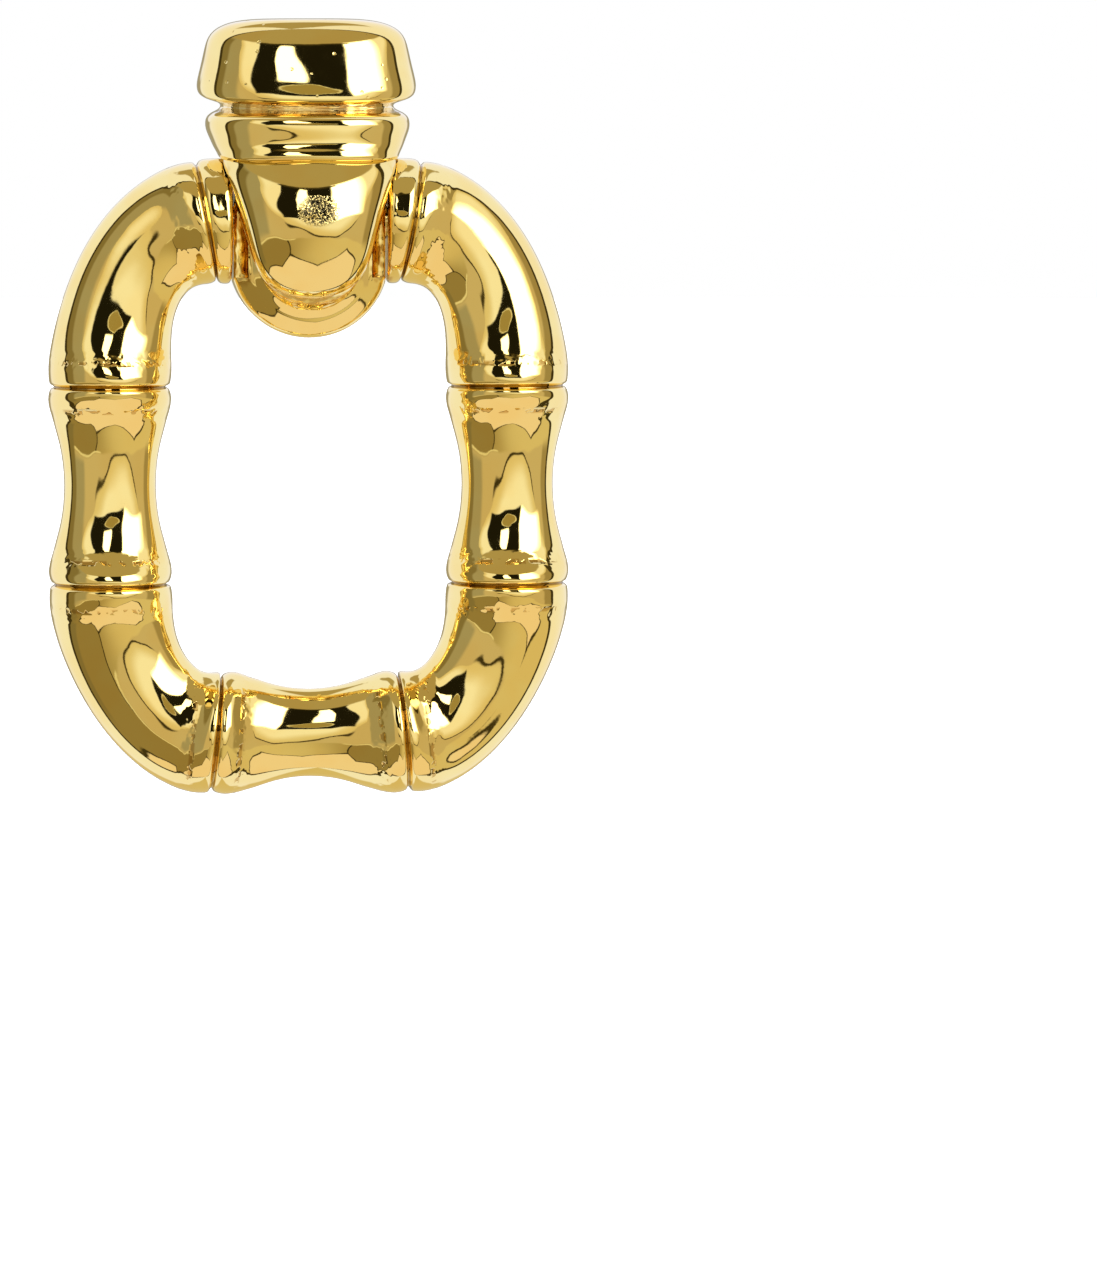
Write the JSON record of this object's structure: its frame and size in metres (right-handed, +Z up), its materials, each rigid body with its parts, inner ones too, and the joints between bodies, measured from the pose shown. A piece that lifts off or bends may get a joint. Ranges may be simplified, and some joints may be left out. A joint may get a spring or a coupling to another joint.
{
  "type": "bamboo door-knocker earring",
  "caption": "Gold-plated drop earring: a cushion-shaped top with a domed tongue carries a large oval hoop cast like jointed bamboo, which swings on a hidden cross pin.",
  "frame": {"origin": "centre of the post on the flat back of the cap, where the earring sits on the front of the ear lobe", "axes": "+Z up as it is worn, +Y along the post into the ear, -Y the front that is seen, +X to the right of a viewer who looks at the front"},
  "size_m": [0.0426, 0.0244, 0.0635],
  "materials": {
    "polished_gold": "mirror-bright yellow gold plating with tiny pits and hairline scratches",
    "post_wire": "plain gold-plated wire, lightly brushed"
  },
  "bodies": {
    "top": {"clip_top": "polished_gold", "ear_post": "post_wire"},
    "hoop": {"bamboo_hoop": "polished_gold", "hinge_pin": "polished_gold"}
  },
  "joints": [
    {"name": "hoop_swing", "type": "hinge", "parent": "top", "child": "hoop", "pos_m": [0, -0.0052, -0.01255], "axis": [1, 0, 0], "range_deg": [-90, 90]}
  ]
}
